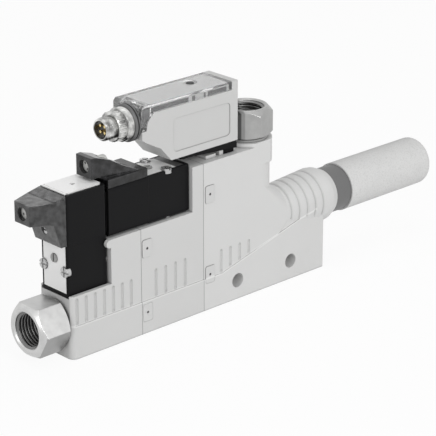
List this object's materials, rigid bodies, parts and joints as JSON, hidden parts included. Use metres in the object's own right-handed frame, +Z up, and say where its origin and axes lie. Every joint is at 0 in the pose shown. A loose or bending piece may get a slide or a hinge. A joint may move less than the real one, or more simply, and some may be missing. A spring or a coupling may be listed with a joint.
{
  "type": "vacuum ejector",
  "caption": "Inline vacuum ejector with upright and lying solenoid valves, a sensor with round plug, hexagonal supply and vacuum ports and an open porous silencer.",
  "frame": {"origin": "on the flat underside in the middle plane, at the left end face that the supply port is seated on", "axes": "+X along the body from the supply port to the silencer, +Z up through the vacuum port, +Y to the back"},
  "size_m": [0.198, 0.0212, 0.0839],
  "materials": {
    "body_plastic": "fine-grained moulded plastic",
    "horn_plastic": "fine-grained moulded plastic",
    "port_metal": "nickel-plated and turned",
    "seal_rubber": "smooth",
    "nozzle_metal": "turned",
    "nozzle_plastic": "smooth",
    "collar_plastic": "smooth",
    "silencer_porous": "porous sintered plastic",
    "valve_black": "fine-grained moulded plastic",
    "plate_light": "smooth",
    "button_grey": "smooth",
    "screw_metal": "plated",
    "armature_steel": "ground",
    "insert_light": "smooth",
    "plug_smoke": "smoky translucent plastic",
    "foot_grey": "smooth",
    "sensor_plastic": "fine-grained moulded plastic",
    "cover_clear": "clear plastic",
    "board_dark": "circuit board",
    "frame_light": "smooth",
    "display_dark": "display window",
    "button_dark": "smooth",
    "ring_dark": "dark anodised",
    "sleeve_metal": "nickel-plated thread",
    "insert_dark": "smooth",
    "pin_gold": "gold-plated"
  },
  "bodies": {
    "housing": {"valve_base_1": "body_plastic", "valve_base_2": "body_plastic", "ejector_housing": "horn_plastic", "module_clips": "body_plastic", "supply_port": "port_metal", "supply_seal": "seal_rubber", "vacuum_port": "port_metal", "vacuum_seal": "seal_rubber", "jet_nozzle": "nozzle_metal", "receiver_nozzle": "nozzle_plastic", "nozzle_seals": "seal_rubber", "silencer_collar": "collar_plastic", "silencer": "silencer_porous", "valve_1_body": "valve_black", "valve_1_coil": "valve_black", "valve_1_end_plate": "plate_light", "valve_1_screws": "screw_metal", "valve_1_gasket": "seal_rubber", "valve_1_cap": "plate_light", "valve_1_plug": "plug_smoke", "valve_1_plug_insert": "insert_light", "valve_1_plug_screw": "screw_metal", "valve_2_body": "valve_black", "valve_2_coil": "valve_black", "valve_2_end_plate": "plate_light", "valve_2_screws": "screw_metal", "valve_2_gasket": "seal_rubber", "valve_2_cap": "plate_light", "valve_2_plug": "plug_smoke", "valve_2_plug_insert": "insert_light", "valve_2_plug_screw": "screw_metal", "sensor_foot": "foot_grey", "sensor_housing": "sensor_plastic", "sensor_cover": "cover_clear", "sensor_board": "board_dark", "sensor_frame": "frame_light", "sensor_display": "display_dark", "connector_ring": "ring_dark", "connector_sleeve": "sleeve_metal", "connector_insert": "insert_dark", "connector_pins": "pin_gold"},
    "override_1": {"valve_1_override": "button_grey"},
    "override_2": {"valve_2_override": "button_grey"},
    "armature_1": {"valve_1_armature": "armature_steel"},
    "armature_2": {"valve_2_armature": "armature_steel"},
    "button": {"sensor_button": "button_dark"}
  },
  "joints": [
    {"name": "override_1_press", "type": "slide", "parent": "housing", "child": "override_1", "axis": [1, 0, 0], "range_m": [0, 0.0012], "stiffness_N_per_m": 1500, "springref_m": -0.0008},
    {"name": "override_2_press", "type": "slide", "parent": "housing", "child": "override_2", "axis": [0, 0, -1], "range_m": [0, 0.0012], "stiffness_N_per_m": 1500, "springref_m": -0.0008},
    {"name": "armature_1_lift", "type": "slide", "parent": "housing", "child": "armature_1", "axis": [0, 0, 1], "range_m": [0, 0.001], "stiffness_N_per_m": 1200, "springref_m": -0.001},
    {"name": "armature_2_lift", "type": "slide", "parent": "housing", "child": "armature_2", "axis": [-1, 0, 0], "range_m": [0, 0.001], "stiffness_N_per_m": 1200, "springref_m": -0.001},
    {"name": "button_press", "type": "slide", "parent": "housing", "child": "button", "axis": [0, 0, -1], "range_m": [0, 0.0006], "stiffness_N_per_m": 2500, "springref_m": -0.0006}
  ]
}
